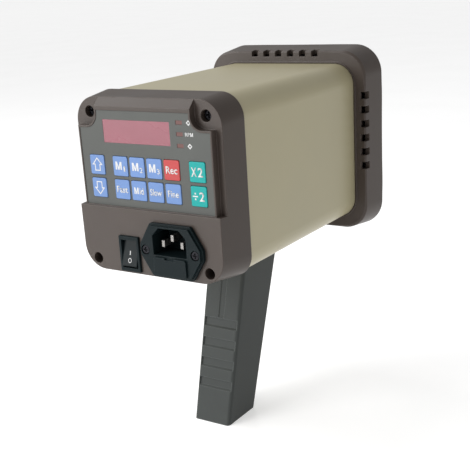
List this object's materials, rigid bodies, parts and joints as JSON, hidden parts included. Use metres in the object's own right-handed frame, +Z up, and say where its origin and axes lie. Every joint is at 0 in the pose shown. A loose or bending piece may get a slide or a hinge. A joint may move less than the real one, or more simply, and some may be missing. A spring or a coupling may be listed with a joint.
{
  "type": "hand-held flash stroboscope",
  "caption": "Mains-powered flash stroboscope on a pistol grip, with a keypad and red display behind and a round lamp window in front.",
  "frame": {"origin": "centre of the grip's flat foot", "axes": "+Z up, +Y the way the lamp flashes, +X to the right of a user who reads the control panel"},
  "size_m": [0.1332, 0.2071, 0.2466],
  "materials": {
    "housing": "fine spark-eroded texture, satin",
    "sleeve": "smooth satin paint on folded sheet",
    "panel_film": "matte printed film",
    "membrane": "smooth",
    "key_blue": "satin printed",
    "key_red": "satin printed",
    "key_teal": "satin printed",
    "window_red": "smooth tinted filter",
    "display_black": "matte",
    "led_red": "diffused",
    "circuit_board": "solder resist",
    "black_plastic": "semi-gloss moulded",
    "rocker_black": "semi-gloss moulded",
    "contact_metal": "nickel plated",
    "clear_glass": "clear",
    "lens_clear": "clear acrylic",
    "dark_steel": "black oxide",
    "plain_steel": "zinc plated",
    "plain_aluminium": "milled and rolled, bare",
    "ring_black": "satin black moulded",
    "gasket_rubber": "matte",
    "reflector_bright": "bright anodised",
    "ceramic": "unglazed ceramic look",
    "core_iron": "varnished laminations",
    "winding": "yellow insulating tape",
    "capacitor_sleeve": "shrink sleeve",
    "coil_case": "moulded",
    "lead_sheath": "soft sheath",
    "grip_plastic": "fine grained, satin"
  },
  "bodies": {
    "housing": {"board_spacers": "plain_aluminium", "body_sleeve": "sleeve", "bulkhead": "coil_case", "capacitors": "capacitor_sleeve", "chassis_plate": "plain_steel", "chips": "coil_case", "display_board": "circuit_board", "display_module": "display_black", "display_window": "window_red", "flash_tube": "clear_glass", "front_housing": "housing", "front_screws": "dark_steel", "grip": "grip_plastic", "grip_bolts": "plain_steel", "grip_cap": "grip_plastic", "grip_nuts": "plain_steel", "indicator_leds": "led_red", "inlet_body": "black_plastic", "inlet_nuts": "plain_steel", "inlet_pins": "contact_metal", "inlet_screws": "dark_steel", "keypad_membrane": "membrane", "keypad_overlay": "panel_film", "lamp_leads": "lead_sheath", "lens": "lens_clear", "lens_gasket": "gasket_rubber", "lens_ring": "ring_black", "main_board": "circuit_board", "mains_leads": "lead_sheath", "rear_housing": "housing", "rear_screws": "dark_steel", "reflector": "reflector_bright", "ring_screws": "dark_steel", "switch_body": "black_plastic", "switch_terminals": "contact_metal", "tie_rods": "plain_aluminium", "transformer_core": "core_iron", "transformer_winding": "winding", "trigger_coil": "coil_case", "tube_base": "ceramic"},
    "key_up": {"key_up": "key_blue"},
    "key_down": {"key_down": "key_blue"},
    "key_store_1": {"key_store_1": "key_blue"},
    "key_store_2": {"key_store_2": "key_blue"},
    "key_store_3": {"key_store_3": "key_blue"},
    "key_record": {"key_record": "key_red"},
    "key_fast": {"key_fast": "key_blue"},
    "key_middle": {"key_middle": "key_blue"},
    "key_slow": {"key_slow": "key_blue"},
    "key_fine": {"key_fine": "key_blue"},
    "key_double": {"key_double": "key_teal"},
    "key_halve": {"key_halve": "key_teal"},
    "rocker": {"switch_rocker": "rocker_black"},
    "fuse_tray": {"fuse_drawer": "black_plastic", "fuse_glass": "clear_glass", "fuse_caps": "contact_metal"}
  },
  "joints": [
    {"name": "key_up_press", "type": "slide", "parent": "housing", "child": "key_up", "axis": [0, 1, 0], "range_m": [0, 0.0004], "stiffness_N_per_m": 3000},
    {"name": "key_down_press", "type": "slide", "parent": "housing", "child": "key_down", "axis": [0, 1, 0], "range_m": [0, 0.0004], "stiffness_N_per_m": 3000},
    {"name": "key_store_1_press", "type": "slide", "parent": "housing", "child": "key_store_1", "axis": [0, 1, 0], "range_m": [0, 0.0004], "stiffness_N_per_m": 3000},
    {"name": "key_store_2_press", "type": "slide", "parent": "housing", "child": "key_store_2", "axis": [0, 1, 0], "range_m": [0, 0.0004], "stiffness_N_per_m": 3000},
    {"name": "key_store_3_press", "type": "slide", "parent": "housing", "child": "key_store_3", "axis": [0, 1, 0], "range_m": [0, 0.0004], "stiffness_N_per_m": 3000},
    {"name": "key_record_press", "type": "slide", "parent": "housing", "child": "key_record", "axis": [0, 1, 0], "range_m": [0, 0.0004], "stiffness_N_per_m": 3000},
    {"name": "key_fast_press", "type": "slide", "parent": "housing", "child": "key_fast", "axis": [0, 1, 0], "range_m": [0, 0.0004], "stiffness_N_per_m": 3000},
    {"name": "key_middle_press", "type": "slide", "parent": "housing", "child": "key_middle", "axis": [0, 1, 0], "range_m": [0, 0.0004], "stiffness_N_per_m": 3000},
    {"name": "key_slow_press", "type": "slide", "parent": "housing", "child": "key_slow", "axis": [0, 1, 0], "range_m": [0, 0.0004], "stiffness_N_per_m": 3000},
    {"name": "key_fine_press", "type": "slide", "parent": "housing", "child": "key_fine", "axis": [0, 1, 0], "range_m": [0, 0.0004], "stiffness_N_per_m": 3000},
    {"name": "key_double_press", "type": "slide", "parent": "housing", "child": "key_double", "axis": [0, 1, 0], "range_m": [0, 0.0004], "stiffness_N_per_m": 3000},
    {"name": "key_halve_press", "type": "slide", "parent": "housing", "child": "key_halve", "axis": [0, 1, 0], "range_m": [0, 0.0004], "stiffness_N_per_m": 3000},
    {"name": "rocker_tilt", "type": "hinge", "parent": "housing", "child": "rocker", "pos_m": [-0.0162, -0.0666, 0.1383], "axis": [1, 0, 0], "range_deg": [0, 20]},
    {"name": "fuse_tray_pull", "type": "slide", "parent": "housing", "child": "fuse_tray", "axis": [0, -1, 0], "range_m": [0, 0.018]}
  ]
}
